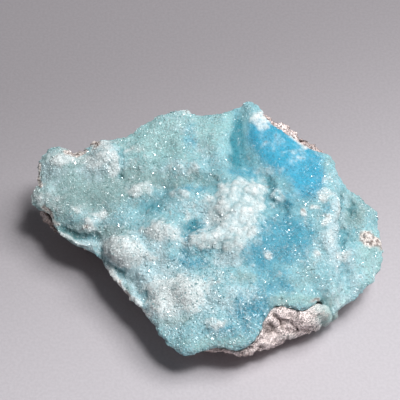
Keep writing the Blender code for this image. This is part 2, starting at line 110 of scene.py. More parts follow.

# Patches of each colour: across, down, half width, half height and strength
# Frost, some of whose patches are painted highlights and glints on rims and lumps
FROST_AND_HIGHLIGHT_PATCHES = [
    (100, 146, 10, 6, 0.8), (108, 157, 10, 9, 0.8), (115, 169, 6, 9, 0.8), (59, 158, 14, 8, 0.7),
    (80, 157, 8, 6, 0.4), (94, 162, 12, 8, 0.5), (134, 262, 10, 6, 0.7), (98, 214, 9, 4, 0.6),
    (90, 227, 6, 5, 1.0), (76, 213, 7, 5, 0.5), (104, 216, 5, 4, 0.5), (53, 203, 9, 7, 0.4),
    (145, 187, 13, 6, 0.5), (135, 192, 12, 7, 0.45), (86, 186, 12, 3, 0.25), (72, 206, 16, 3, 0.2),
    (122, 139, 12, 3, 0.25), (140, 160, 16, 3, 0.25), (135, 226, 4, 6, 0.2), (131, 150, 7, 5, 0.4),
    (118, 246, 17, 12, 0.75), (131, 254, 11, 8, 0.75), (151, 258, 6, 4, 0.8), (172, 168, 7, 4, 0.6),
    (193, 167, 11, 5, 0.45), (179, 194, 10, 7, 0.5), (242, 191, 20, 12, 0.9), (258, 196, 9, 13, 0.8),
    (228, 203, 16, 9, 0.8), (243, 212, 18, 9, 0.65), (218, 216, 12, 9, 0.9), (207, 196, 7, 5, 0.5),
    (191, 217, 5, 4, 0.6), (243, 227, 12, 9, 0.65), (204, 204, 14, 6, 0.3), (236, 245, 12, 9, 0.75),
    (206, 239, 18, 6, 1.0), (228, 232, 18, 8, 0.7), (166, 232, 13, 9, 0.9), (151, 232, 10, 8, 0.7),
    (226, 240, 14, 8, 0.6), (277, 198, 7, 10, 0.4), (176, 291, 26, 15, 0.95), (191, 300, 7, 10, 0.9),
    (172, 302, 28, 14, 0.7), (202, 284, 14, 6, 0.35), (222, 278, 10, 6, 0.35), (160, 307, 9, 7, 0.5),
    (249, 292, 7, 6, 0.3), (214, 323, 12, 6, 0.5), (236, 318, 7, 5, 0.4), (260, 119, 9, 8, 0.7),
    (185, 111, 10, 3, 0.7), (155, 117, 6, 4, 0.4), (325, 195, 5, 6, 0.75), (305, 211, 4, 3, 0.9),
    (316, 207, 3, 2, 0.8), (325, 218, 4, 6, 0.8), (271, 254, 5, 3, 0.9), (315, 253, 4, 4, 0.6),
    (344, 258, 6, 5, 0.8), (351, 254, 5, 4, 0.7), (370, 238, 7, 6, 0.6), (338, 304, 12, 6, 0.3),
    (337, 214, 5, 11, 0.55), (332, 238, 5, 10, 0.4), (299, 159, 7, 5, 0.32), (326, 181, 5, 4, 0.5),
    (38, 196, 8, 10, 0.5),
]
PALE_PATCHES = [
    (125, 252, 30, 20, 0.5), (166, 234, 22, 12, 0.75), (164, 294, 36, 24, 0.9), (225, 300, 26, 16, 0.5),
    (232, 222, 32, 26, 0.8), (228, 260, 16, 7, 0.85), (200, 208, 30, 10, 0.25), (176, 207, 12, 7, 0.4),
    (187, 248, 10, 5, 0.4), (248, 292, 12, 10, 0.3), (160, 322, 18, 12, 0.25), (143, 262, 30, 18, 0.6),
    (310, 288, 16, 10, 0.15), (217, 330, 12, 8, 0.35), (348, 258, 14, 12, 0.4),
    (373, 268, 12, 26, 0.25), (318, 250, 12, 14, 0.4), (108, 160, 18, 18, 0.7), (90, 172, 14, 12, 0.4),
    (55, 200, 12, 14, 0.3), (178, 124, 20, 12, 0.3), (203, 150, 12, 8, 0.5), (300, 150, 9, 7, 0.35),
    (90, 222, 16, 14, 0.5), (175, 167, 30, 7, 0.4), (144, 190, 16, 12, 0.3), (336, 178, 8, 20, 0.3),
    (338, 300, 14, 16, 0.5), (353, 280, 15, 16, 0.4), (344, 205, 8, 8, 0.35), (294, 190, 10, 8, 0.3),
    (270, 170, 16, 6, 0.5), (272, 142, 16, 9, 0.35), (50, 168, 18, 16, 0.6), (40, 196, 12, 12, 0.25),
    (88, 243, 18, 6, 0.6), (118, 272, 12, 12, 0.4), (336, 212, 8, 16, 0.8), (331, 236, 9, 16, 0.7),
    (334, 250, 6, 24, 0.6),
]
SKY_PATCHES = [
    (262, 134, 14, 18, 0.9), (284, 140, 20, 15, 1.0), (308, 179, 16, 20, 1.0), (190, 139, 9, 18, 0.45),
    (290, 158, 26, 18, 1.0), (328, 208, 6, 8, 0.4), (340, 292, 6, 10, 0.2),
]
TEAL_PATCHES = [
    (237, 140, 7, 25, 1.0), (240, 162, 14, 7, 0.5), (252, 152, 12, 12, 0.3), (152, 207, 16, 9, 0.5),
    (162, 194, 8, 8, 0.4), (194, 225, 12, 7, 0.7), (206, 251, 14, 4, 0.25), (184, 236, 4, 6, 0.5),
    (246, 263, 5, 3, 0.5),
]
STEEL_PATCHES = [
    (286, 236, 30, 24, 0.85), (262, 250, 14, 16, 0.5), (302, 260, 16, 9, 0.3), (279, 289, 14, 8, 0.5),
    (270, 272, 24, 24, 0.42), (250, 308, 20, 18, 0.8), (228, 330, 22, 10, 0.45), (148, 206, 14, 8, 0.3),
    (199, 226, 14, 7, 0.6), (203, 251, 22, 7, 0.3), (244, 172, 22, 7, 0.6), (190, 265, 16, 8, 0.4),
    (340, 268, 8, 8, 0.3), (188, 240, 6, 12, 0.6), (250, 255, 14, 12, 0.4), (189, 261, 20, 5, 0.5),
    (285, 196, 20, 12, 0.5), (192, 190, 16, 7, 0.5),
]
SAGE_PATCHES = [
    (124, 288, 16, 30, 0.65), (274, 302, 14, 6, 0.85), (174, 318, 18, 9, 0.9), (245, 277, 12, 8, 0.55),
    (315, 262, 8, 8, 0.4), (330, 163, 8, 9, 0.4), (80, 188, 48, 30, 0.9), (128, 178, 40, 16, 0.7),
    (192, 180, 36, 10, 0.55), (355, 212, 20, 22, 0.6), (303, 278, 20, 14, 0.3), (80, 236, 32, 12, 0.9),
    (114, 266, 14, 18, 0.6), (368, 250, 12, 20, 0.3), (50, 184, 26, 34, 0.6), (152, 206, 20, 12, 0.4),
    (66, 160, 30, 12, 0.4), (115, 232, 20, 8, 0.6), (150, 142, 16, 12, 0.4), (104, 180, 26, 4, 0.7),
    (102, 192, 16, 5, 0.5),
]
GREEN_PATCHES = [
    (150, 142, 44, 30, 0.8), (200, 132, 36, 22, 0.6), (215, 345, 42, 7, 0.6), (296, 300, 34, 6, 0.8),
    (372, 262, 16, 34, 0.7), (170, 225, 30, 12, 0.3), (60, 162, 30, 16, 0.6), (225, 120, 12, 10, 0.4),
    (40, 194, 14, 18, 0.9), (150, 325, 20, 16, 0.4), (338, 305, 14, 20, 0.8), (54, 172, 14, 18, 0.5),
]
# Deep creases and crevices, darkened towards teal as painted shade
DEEP_AND_SHADE_PATCHES = [
    (268, 189, 4, 11, 0.9), (281, 206, 9, 5, 0.7), (292, 212, 12, 6, 0.3), (104, 227, 8, 4, 0.5),
    (350, 234, 9, 6, 0.5), (353, 208, 7, 8, 0.5), (250, 306, 10, 9, 0.4), (300, 225, 14, 8, 0.3),
    (290, 184, 8, 8, 0.2), (152, 207, 7, 5, 0.4),
]
PINK_PATCHES = [
    (367, 237, 6, 4, 1.0), (374, 242, 7, 5, 1.0), (379, 248, 4, 5, 0.8), (92, 144, 5, 4, 1.0),
    (89, 228, 4, 3, 0.6), (305, 210, 3, 2, 0.5), (271, 254, 3, 2, 0.3), (325, 219, 2, 3, 0.4),
    (318, 301, 4, 3, 0.8), (196, 293, 3, 4, 0.3),
]
# Where the crust is knobbly
NODULE_PATCHES = [
    (242, 198, 34, 26, 1.0), (226, 238, 34, 14, 0.7), (185, 288, 40, 26, 0.2), (165, 228, 20, 12, 0.4),
    (108, 156, 14, 16, 0.5), (150, 192, 30, 12, 0.3), (280, 200, 12, 12, 0.3),
]
# Where it is smooth and clear
SMOOTH_PATCHES = [
    (288, 156, 44, 36, 0.9), (242, 142, 16, 28, 1.0), (296, 228, 26, 26, 0.7), (268, 275, 24, 24, 0.5),
    (152, 207, 10, 8, 0.8), (85, 188, 34, 20, 0.5),
]
# Where the rim is most ragged
RAGGED_PATCHES = [(58, 165, 36, 34, 0.9), (108, 141, 16, 8, 0.6), (378, 228, 16, 34, 0.8)]
# Where the solid's own folds are eased
EASED_PATCHES = [(238, 146, 16, 26, 1.0), (328, 225, 9, 30, 0.6)]
# Where dark crystals paint shade in the gaps between the pale crystals
GAP_SHADE_PATCHES = [
    (125, 248, 28, 16, 0.8), (160, 232, 24, 14, 0.6), (175, 290, 48, 34, 0.9), (225, 300, 26, 20, 0.5),
    (110, 162, 10, 12, 0.5), (240, 212, 34, 28, 0.4),
]
# Strokes: half width, strength, and the corners of a line, each by its place across and down
# Deep creases drawn as strokes, darkened as painted shade
DEEP_AND_SHADE_STROKES = [
    (3.6, 0.9, (62, 228), (78, 235), (98, 238)),
    (3.0, 0.55, (97, 242), (103, 258), (113, 267), (124, 272)),
    (3.0, 0.5, (136, 288), (143, 296), (146, 292)),
    (3.0, 0.8, (342, 200), (341, 226), (343, 248)),
    (2.5, 0.3, (196, 254), (210, 253), (222, 250)),
    (2.5, 0.8, (121, 150), (123, 165), (120, 177)),
    (3.0, 0.6, (267, 178), (270, 198), (284, 208)),
]
# Pale lines along rims: frost, and painted highlight on the rims' edges
FROST_AND_HIGHLIGHT_STROKES = [
    (2.5, 0.8, (101, 256), (116, 280), (131, 298), (148, 316)),
    (1.5, 0.7, (290, 137), (298, 144), (306, 148)),
    (2.0, 0.5, (60, 233), (80, 243), (98, 252)),
]
PINK_STROKES = [
    (2.5, 1.0, (66, 152), (75, 156), (86, 149)),
    (1.8, 0.7, (38, 163), (39, 176), (42, 187)),
    (2.5, 0.7, (42, 207), (50, 216), (58, 224)),
    (1.5, 0.5, (108, 268), (124, 289), (134, 300)),
]
# Where the sparkling crystals gather
GLITTER_PATCHES = [
    (92, 172, 30, 26, 1.0), (175, 126, 34, 22, 0.45), (196, 290, 34, 46, 0.8), (200, 330, 42, 20, 0.9),
    (108, 228, 28, 12, 0.6), (322, 205, 12, 56, 0.9), (250, 316, 26, 26, 0.7), (112, 206, 30, 14, 0.6),
    (60, 210, 16, 16, 0.5), (290, 235, 24, 26, 0.5), (150, 245, 20, 14, 0.4), (205, 205, 16, 12, 0.5),
]
# Extra height of a few forms, with millimetres in place of strength
RAISED_PATCHES = [
    (127, 249, 24, 12, 0.9), (120, 258, 16, 10, 0.4), (165, 226, 16, 10, 0.2), (205, 239, 18, 7, 0.2),
    (82, 221, 16, 11, 0.3), (335, 218, 9, 20, 0.3),
]
ROCK_FULLER = [
    (290, 322, 24, 14, 1.0), (274, 340, 14, 8, 0.7), (298, 331, 12, 8, 0.4), (322, 316, 12, 12, 0.7),
    (325, 309, 8, 9, 1.7), (278, 311, 12, 5, 0.6), (230, 352, 26, 5, 0.3), (322, 149, 12, 8, 0.5),
    (274, 118, 10, 7, 0.5),
]
# Where a film of crust lies over the rock
FILM_PATCHES = [(326, 314, 12, 16, 1.0), (300, 336, 20, 3, 0.3)]
# Where the rock is painted dark, as dark spots in the notch and as painted shadow under the left end,
# and where a white seam crosses it
DARK_ROCK_AND_SHADOW_PATCHES = [(269, 328, 6, 6, 1.0), (281, 318, 6, 3, 0.6), (52, 224, 16, 14, 0.5)]
SEAM_STROKES = [
    (2.2, 0.9, (258, 346), (266, 338), (277, 334)),
    (1.6, 0.7, (280, 312), (287, 317), (284, 326)),
]
# Where painted light makes the rock paler
PAINTED_LIGHT_ROCK_PATCHES = [(290, 322, 34, 20, 1.0), (262, 340, 14, 12, 1.0), (272, 118, 12, 10, 0.5)]

# The rate at which patches and strokes fade, which leaves about half of them at their edges
FADE = 0.7
# How far one step of a seed moves the lumps, the pillows and the breaks
LUMP_STEP = (13.1, 5.3, 8.7)
PILLOW_STEP = (3.7, 9.1, 2.3)
BREAK_STEP = (3.1, 7.9, 1.7)
# How far in from its creases a pillow is full, and how a break's faces differ in level and slope
PILLOW_FULL = 0.55
BREAK_LEVELS = 1.2
BREAK_SLOPES = 0.8
# How far a patch's edges wander, in bends of what size, and the strengths between which they fade
WANDER = 1.5
WANDER_SIZE = 2.8
PATCH_EDGE = (0.12, 0.82)
# How a patch's edges fray, as layers of lumps: their height, their size and a step of the seed
FRAYING = ((0.34, 1.5, 2), (0.24, 0.6, 3))


def in_view(points):
    """The pixel (across, down) at which the display view shows each point."""
    offset = points - np.array(VIEW_TARGET)
    sine, cosine = math.sin(VIEW_ELEVATION), math.cos(VIEW_ELEVATION)
    nearer = offset[:, 2] * sine - offset[:, 1] * cosine
    scale = VIEW_DISTANCE / (VIEW_DISTANCE - nearer) / PIXEL
    up = offset[:, 1] * sine + offset[:, 2] * cosine
    return FRAME_PIXELS / 2 + offset[:, 0] * scale, FRAME_PIXELS / 2 - up * scale


def patch_strength(points, patches):
    """How strongly the patches cover each point, from 0 to 1. They fade by the distance's cube."""
    across, down = in_view(points)
    clear = np.ones(len(points))
    for x, y, wide, high, strength in patches:
        squared = ((across - x) / wide) ** 2 + ((down - y) / high) ** 2
        clear *= 1 - strength * np.exp(-(squared**1.5) * FADE)
    return 1 - clear


def stroke_strength(points, strokes):
    """How strongly the strokes cover each point, from 0 to 1."""
    across, down = in_view(points)
    clear = np.ones(len(points))
    for half_width, strength, *line in strokes:
        nearest = np.full(len(points), np.inf)
        for (x, y), (next_x, next_y) in zip(line, line[1:], strict=False):
            run, drop = next_x - x, next_y - y
            share = np.clip(((across - x) * run + (down - y) * drop) / (run**2 + drop**2), 0, 1)
            nearest = np.minimum(nearest, np.hypot(across - x - share * run, down - y - share * drop))
        clear *= 1 - strength * np.exp(-((nearest / half_width) ** 3) * FADE)
    return 1 - clear


def heights(points, patches):
    """The patches' heights in millimetres, added up. Each has a flatter top than a colour patch."""
    across, down = in_view(points)
    total = np.zeros(len(points))
    for x, y, wide, high, height in patches:
        squared = ((across - x) / wide) ** 2 + ((down - y) / high) ** 2
        total += height * np.exp(-(squared**2) * FADE)
    return total


def smooth_step(low, high, value):
    """0 up to low and 1 from high on, with a smooth rise between them."""
    share = np.clip((value - low) / (high - low), 0, 1)
    return share * share * (3 - 2 * share)


def shifted(seed, step):
    """How far a seed moves the noise, so that no two uses match."""
    return Vector([seed * way for way in step])


def lumps(points, size, seed):
    """Smooth noise between about -1 and 1, with lumps of that size."""
    shift = shifted(seed, LUMP_STEP)
    return np.array([noise.noise(Vector(point) / size + shift) for point in points])


def pillows(points, size, seed):
    """Rounded pillows that meet in sharp creases, 0 in the creases and 1 on top."""
    shift = shifted(seed, PILLOW_STEP)
    found = []
    for point in points:
        near = noise.voronoi(Vector(point) / size + shift)[0]
        found.append(near[1] - near[0])
    return np.sqrt(np.clip(np.array(found) / PILLOW_FULL, 0, 1))


def breaks(points, size, seed):
    """Levels and slopes like a fresh break's flat faces, about -1 to 1."""
    shift = shifted(seed, BREAK_STEP)
    found = []
    for point in points:
        place = Vector(point) / size + shift
        centre = noise.voronoi(place)[1][0]
        level = BREAK_LEVELS * noise.cell(centre) - BREAK_LEVELS / 2
        slope = 2 * noise.cell_vector(centre) - Vector((1, 1, 1))
        found.append(level + BREAK_SLOPES * slope.dot(place - centre))
    return np.array(found)


def layered(points, layers, seed=0, shape=lumps):
    """Noise of several sizes, added up. Each layer has its height, its size and its own seed."""
    return sum(height * shape(points, size, seed + own) for height, size, own in layers)


def cloudy(points, patches, seed, strokes=(), breaking=1.0):
    """The patches' and strokes' strength, with edges that wander and break up."""
    bends = [lumps(points, WANDER_SIZE, seed), lumps(points, WANDER_SIZE, seed + 1)]
    moved = points.copy()
    moved[:, :2] += WANDER * breaking * np.stack(bends, axis=1)
    halfway = 0.5 * (points + moved)
    covered = np.maximum(patch_strength(moved, patches), stroke_strength(halfway, strokes))
    return smooth_step(*PATCH_EDGE, covered + breaking * layered(points, FRAYING, seed))


def copy_of_node(name, new_name):
    """A new object with a CAD node's shape, its corners welded."""
    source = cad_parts[name].data
    points = np.empty(len(source.vertices) * 3)
    source.vertices.foreach_get("co", points)
    source.calc_loop_triangles()
    triangles = np.empty(len(source.loop_triangles) * 3, np.int32)
    source.loop_triangles.foreach_get("vertices", triangles)
    rounded = np.round(points.reshape(-1, 3) / MM, WELD_DECIMALS)
    welded, index = np.unique(rounded, axis=0, return_inverse=True)
    triangles = index.reshape(-1)[triangles].reshape(-1, 3)
    mesh = bpy.data.meshes.new(new_name)
    mesh.from_pydata((welded * MM).tolist(), [], triangles.tolist())
    made = bpy.data.objects.new(new_name, mesh)
    bpy.context.scene.collection.objects.link(made)
    return made


def apply_modifiers(piece):
    """Gives the piece the mesh that its modifiers make, and takes the modifiers off."""
    bpy.context.view_layer.update()
    graph = bpy.context.evaluated_depsgraph_get()
    finished = bpy.data.meshes.new_from_object(piece.evaluated_get(graph))
    piece.modifiers.clear()
    piece.data = finished
    finished.name = piece.name


def corner_points(mesh):
    """The corners' places in millimetres."""
    points = np.empty(len(mesh.vertices) * 3)
    mesh.vertices.foreach_get("co", points)
    return points.reshape(-1, 3) / MM


def corner_normals(mesh):
    """Which way the surface faces at each corner."""
    normals = np.empty(len(mesh.vertices) * 3)
    mesh.vertex_normals.foreach_get("vector", normals)
    return normals.reshape(-1, 3)


def set_points(mesh, points):
    """Moves the corners to these places in millimetres."""
    mesh.vertices.foreach_set("co", (points * MM).ravel())
    mesh.update()


def set_field(mesh, name, values):
    """A number at each corner, which the druse or the material's nodes read by that name."""
    field = mesh.attributes.new(name, "FLOAT", "POINT")
    field.data.foreach_set("value", np.asarray(values, np.float32))


def set_tint(mesh, colours):
    """A linear colour at each corner, which the druse and the material's nodes read."""
    tint = mesh.color_attributes.new("tint", "FLOAT_COLOR", "POINT")
    shares = np.ones((len(colours), 4), np.float32)
    shares[:, :3] = colours
    tint.data.foreach_set("color", shares.ravel())


def smoothed(mesh, values, rounds):
    """The values averaged with their neighbours', over and over."""
    ends = np.empty(len(mesh.edges) * 2, np.int32)
    mesh.edges.foreach_get("vertices", ends)
    start, end = ends.reshape(-1, 2).T
    count = len(mesh.vertices)
    neighbours = np.bincount(start, minlength=count) + np.bincount(end, minlength=count)
    columns = values.reshape(count, -1).T
    for _ in range(rounds):
        sums = [
            np.bincount(start, column[end], count) + np.bincount(end, column[start], count)
            for column in columns
        ]
        columns = (columns + np.array(sums) / neighbours) / 2
    return columns.T.reshape(values.shape)


def hollowness(mesh, rounds, depth):
    """1 in creases, 0 on crests and 0.5 on flats, for creases about that deep."""
    points = corner_points(mesh)
    level = ((smoothed(mesh, points, rounds) - points) * corner_normals(mesh)).sum(axis=1)
    return np.clip(0.5 + 0.5 * level / depth, 0, 1)


# The colours over the sea blue, in order: their patches, seed, breaking up and the most they cover
COLOUR_LAYERS = (
    (GREEN, GREEN_PATCHES, 20, 0.7, 1.0),
    (SAGE, SAGE_PATCHES, 25, 0.7, 1.0),
    (STEEL, STEEL_PATCHES, 30, 0.7, 1.0),
    (SKY, SKY_PATCHES, 35, 0.3, 1.0),
    (PALE, PALE_PATCHES, 40, 1.0, 0.85),
    (TEAL, TEAL_PATCHES, 55, 0.4, 0.9),
)
# The seeds of the deep patches with their painted shade, of the frost with its painted highlights, and
# of the pink patches
DEEP_AND_SHADE_SEED = 45
FROST_AND_HIGHLIGHT_SEED = 50
PINK_SEED = 60
# How much of the frost stays in the creases
FROST_IN_CREASES = 0.6
# The most that painted shade darkens deep patches and hollows, and the hollowness between which that
# grows
DEEP_AND_SHADE_MOST = 0.9
HOLLOW_SHADE_MOST = 0.6
HOLLOW_SHADE_RANGE = (0.5, 1.0)
# The brown grains in the pink: their size and seed, the noise between which they grow, and their most
BROWN_GRAINS = (0.45, 65)
BROWN_RANGE = (-0.05, 0.15)
BROWN_MOST = 0.9
# How the painted shade varies: its layers of lumps of random tone, what crests over which level add to
# it as painted light and below it take as painted shade, and its limits
SHADE_LUMPS = ((0.08, 1.0, 70), (0.06, 0.45, 72), (0.06, 3.0, 71))
CREST_PAINTED_LIGHT_AND_SHADE = 0.6
CREST_LEVEL = 0.75
SHADE_LIMITS = (0.3, 1.25)


def lay(ground, tint, share):
    """Lays a tint over the ground's colours, as much as each one's share."""
    ground += (np.array(tint) - ground) * share[:, None]


def crust_colours(points, frost_and_highlights, deep_and_shade, pink, hollow_shade, crest):
    """The hemimorphite's linear colour at each point, which its crystals share, with painted shade in
    hollows and deep creases, painted light on crests and shade below them, and painted highlights among
    the frost.
    """
    mixed = np.tile(np.array(SEA), (len(points), 1))
    for tint, patches, seed, breaking, most in COLOUR_LAYERS:
        lay(mixed, tint, most * cloudy(points, patches, seed, (), breaking))
    lay(mixed, FROST_AND_HIGHLIGHT_WHITE, frost_and_highlights * (FROST_IN_CREASES + (1 - FROST_IN_CREASES) * crest))
    deepened_by_shade = np.maximum(DEEP_AND_SHADE_MOST * deep_and_shade, HOLLOW_SHADE_MOST * smooth_step(*HOLLOW_SHADE_RANGE, hollow_shade))
    mixed *= 1 - (1 - np.array(SHADE_DEEPENING)) * deepened_by_shade[:, None]
    brown = pink * smooth_step(*BROWN_RANGE, lumps(points, *BROWN_GRAINS))
    lay(mixed, PINK, pink)
    lay(mixed, ROCK_BROWN, BROWN_MOST * brown)
    shade = 1 + layered(points, SHADE_LUMPS) + CREST_PAINTED_LIGHT_AND_SHADE * (crest - CREST_LEVEL)
    shade = np.clip(shade, *SHADE_LIMITS)[:, None]
    return mixed * np.maximum(shade, 1) * np.minimum(shade, 1) ** np.array(SHADE_FALL)


# The crust's pillows: size, seed, height and share in the crests, and the level that stays in place
PILLOW_LAYERS = ((3.4, 1, 0.46, 0.4), (1.7, 2, 0.20, 0.4), (0.95, 3, 0.05, 0.2))
PILLOW_LEVEL = 0.6
# How bumpy the crust is, what nodules add to that and what smooth places take away
BUMPINESS = 0.4
NODULES_ADD = 0.6
SMOOTH_TAKES = 0.3
# The frost's height, the deep creases' depth, and how rough the pink rock film is by lumps of what size
FROST_HEIGHT = 0.13
CREASE_DEPTH = 0.4
PINK_ROUGHNESS = 0.35
PINK_LUMPS = (0.8, 7)
# The crust's swells and its ragged rims, as layers of lumps, and what smooth places take off the swells
SWELLS = ((0.18, 2.6, 4), (0.06, 1.3, 8))
RIM_LUMPS = ((0.34, 1.4, 5), (0.26, 0.7, 6))
SMOOTH_CALMS = 0.6
# How level a face is where the rim begins, and where it is wholly rim
RIM_RANGE = (0.7, 0.3)
# How much less of the druse grows on pink film, on nodules and in smooth places
PINK_BARE = 0.8
NODULES_BARE = 0.6
SMOOTH_BARE = 0.5


def make_crust():
    """The crust's fine surface: the solid smoothed, with domes, knobs and grains."""
    crust = copy_of_node("hemimorphite_crust", "crust_surface")
    subdivide = crust.modifiers.new("fine", "SUBSURF")
    subdivide.levels = CRUST_SUBDIVISIONS
    subdivide.render_levels = CRUST_SUBDIVISIONS
    apply_modifiers(crust)
    mesh = crust.data
    points = corner_points(mesh)
    eased = smoothed(mesh, points, EASING_ROUNDS) - points
    points += eased * patch_strength(points, EASED_PATCHES)[:, None]
    set_points(mesh, points)
    normals = corner_normals(mesh)
    frost_and_highlights = cloudy(points, FROST_AND_HIGHLIGHT_PATCHES, FROST_AND_HIGHLIGHT_SEED, FROST_AND_HIGHLIGHT_STROKES)
    deep_and_shade = cloudy(points, DEEP_AND_SHADE_PATCHES, DEEP_AND_SHADE_SEED, DEEP_AND_SHADE_STROKES)
    pink = cloudy(points, PINK_PATCHES, PINK_SEED, PINK_STROKES)
    smooth = patch_strength(points, SMOOTH_PATCHES)
    nodules = patch_strength(points, NODULE_PATCHES)
    bumpy = np.clip(BUMPINESS + NODULES_ADD * nodules - SMOOTH_TAKES * smooth, 0, 1)
    pillowed = np.zeros(len(points))
    crested = np.zeros(len(points))
    for size, seed, height, share in PILLOW_LAYERS:
        pillow = pillows(points, size, seed)
        pillowed += height * (pillow - PILLOW_LEVEL)
        crested += share * pillow
    relief = bumpy * pillowed
    relief += FROST_HEIGHT * frost_and_highlights - CREASE_DEPTH * deep_and_shade
    relief += PINK_ROUGHNESS * pink * lumps(points, *PINK_LUMPS)
    relief += (1 - SMOOTH_CALMS * smooth) * layered(points, SWELLS)
    relief += heights(points, RAISED_PATCHES)
    rim = smooth_step(*RIM_RANGE, np.abs(normals[:, 2])) * (1 + patch_strength(points, RAGGED_PATCHES))
    relief += rim * layered(points, RIM_LUMPS)
    points += normals * relief[:, None]
    set_points(mesh, points)
    crest = 1 - bumpy * (1 - crested)
    nodules = patch_strength(points, NODULE_PATCHES)
    growth = (1 - PINK_BARE * pink) * (1 - NODULES_BARE * nodules) * (1 - SMOOTH_BARE * smooth)
    set_field(mesh, "crest", crest)
    set_field(mesh, "growth", growth)
    hollow_shade = hollowness(mesh, *CRUST_HOLLOWS)
    set_tint(mesh, crust_colours(points, frost_and_highlights, deep_and_shade, pink, hollow_shade, crest))
    mesh.shade_smooth()
    mesh.materials.append(crust_material())
    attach(crust, "root")
    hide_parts("hemimorphite_crust")
    return crust


# The rock's broken faces and its lumps, as layers with their height, size and seed
ROCK_BREAKS = ((0.24, 2.4, 1), (0.22, 1.1, 2))
ROCK_LUMPS = ((0.16, 0.8, 3),)
# The rock's pits: their size and seed, the noise between which they deepen, and their depth
PIT_LUMPS = (1.2, 4)
PIT_RANGE = (0.25, 0.55)
PIT_DEPTH = 0.40
# The seed of the dark spots and painted shadow, and how they break up
DARK_ROCK_AND_SHADOW_SEED = 85
DARK_ROCK_AND_SHADOW_BREAKING = 0.4
# The white seam's gaps: their size and seed, and the noise between which it shows, then its height
SEAM_GAPS = (0.5, 90)
SEAM_RANGE = (-0.4, 0.1)
SEAM_HEIGHT = 0.15
# How much the film of crust evens out, and the heights between which the flat foot gives way to relief
FILM_EVENS = 0.5
FOOT_RANGE = (0.05, 0.9)


def make_rock():
    """The matrix rock's fine surface: the solid remeshed, with ledges, pits and grains."""
    rock = copy_of_node("matrix_rock", "rock_surface")
    remesh = rock.modifiers.new("fine", "REMESH")
    remesh.mode = "VOXEL"
    remesh.voxel_size = ROCK_VOXEL * MM
    apply_modifiers(rock)
    mesh = rock.data
    points = smoothed(mesh, corner_points(mesh), ROCK_ROUNDS)
    set_points(mesh, points)
    normals = corner_normals(mesh)
    film = patch_strength(points, FILM_PATCHES)
    dark_and_shadow = cloudy(points, DARK_ROCK_AND_SHADOW_PATCHES, DARK_ROCK_AND_SHADOW_SEED, (), DARK_ROCK_AND_SHADOW_BREAKING)
    seam = stroke_strength(points, SEAM_STROKES)
    seam *= smooth_step(*SEAM_RANGE, lumps(points, *SEAM_GAPS))
    pits_and_shadow = np.maximum(smooth_step(*PIT_RANGE, lumps(points, *PIT_LUMPS)), dark_and_shadow)
    relief = layered(points, ROCK_BREAKS, shape=breaks) + layered(points, ROCK_LUMPS)
    relief = (relief - PIT_DEPTH * pits_and_shadow) * (1 - FILM_EVENS * film)
    relief += SEAM_HEIGHT * seam + heights(points, ROCK_FULLER)
    above_foot = smooth_step(*FOOT_RANGE, points[:, 2])
    points += normals * (relief * above_foot)[:, None]
    points[:, 2] = np.maximum(points[:, 2], 0)
    set_points(mesh, points)
    set_field(mesh, "hollow_shade", hollowness(mesh, *ROCK_HOLLOWS))
    set_field(mesh, "pit_and_shadow", pits_and_shadow)
    set_field(mesh, "film", film)
    set_field(mesh, "seam", seam)
    set_field(mesh, "painted_light", patch_strength(points, PAINTED_LIGHT_ROCK_PATCHES))
    mesh.shade_smooth()
    mesh.materials.append(rock_material())
    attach(rock, "root")
    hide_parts("matrix_rock")
    return rock


# The druse's two kinds of crystals, with the middling half width and the ridge's height over that
SUGAR = {
    "name": "sugar", "count": 48000, "pieces": 3, "half_width": 0.105, "ridge": 0.32, "lean": 0.22,
    "patchiness": 0.8, "gathering": 0.0, "most_pale": 0.1, "roughness": 0.35,
}
SPARKLES = {
    "name": "sparkles", "count": 40000, "pieces": 2, "half_width": 0.14, "ridge": 0.38, "lean": 0.35,
    "patchiness": 0.5, "gathering": 0.75, "most_pale": 0.35, "roughness": 0.11,
}
CRYSTAL_SEED = 11
# An area that stands in for none, so that nothing is divided by 0
TINY = 1e-9
# Crystals grow from where a face just turns upward, on crests, and in drifts of this size and seed
UPWARD_RANGE = (-0.35, 0.1)
CREST_RANGE = (0.45, 0.85)
DRIFTS = (2.4, 80)
DRIFT_RANGE = (-0.25, 0.3)
# How the crystals' sizes and shades spread, and how much smaller and less pale smooth places make them
SIZE_SPREAD = 0.35
SHADE_SPREAD = 0.10
SMOOTH_SMALLER = 0.3
SMOOTH_DULLER = 0.6
# How many crystals of those patches are darkened as painted shade of the gaps, and what that leaves of
# their colour
GAP_SHADE_SHARE = 0.12
GAP_SHADE_DARKENING = (0.36, 0.52, 0.54)
# A wedge: a base of four corners sunk in the crust, and a ridge of two above it
WEDGE_SUNK = 0.20
WEDGE_BREADTH = 0.85
RIDGE_LENGTH = 0.6
WEDGE_FACES = np.array([
    (3, 2, 1), (3, 1, 0), (0, 1, 5), (0, 5, 4), (2, 3, 4), (2, 4, 5), (1, 2, 5), (3, 0, 4),
])
# How a wedge is flattened into its square of the map: its breadth's slant, and its share of the square
MAP_SLANT = (0.3, 0.6)
MAP_SHARE = 0.3


def corner_values(mesh, name, width):
    """An attribute's numbers at each corner of the mesh."""
    values = np.empty(len(mesh.vertices) * width, np.float32)
    mesh.attributes[name].data.foreach_get("color" if width > 1 else "value", values)
    return values.reshape(len(mesh.vertices), width)


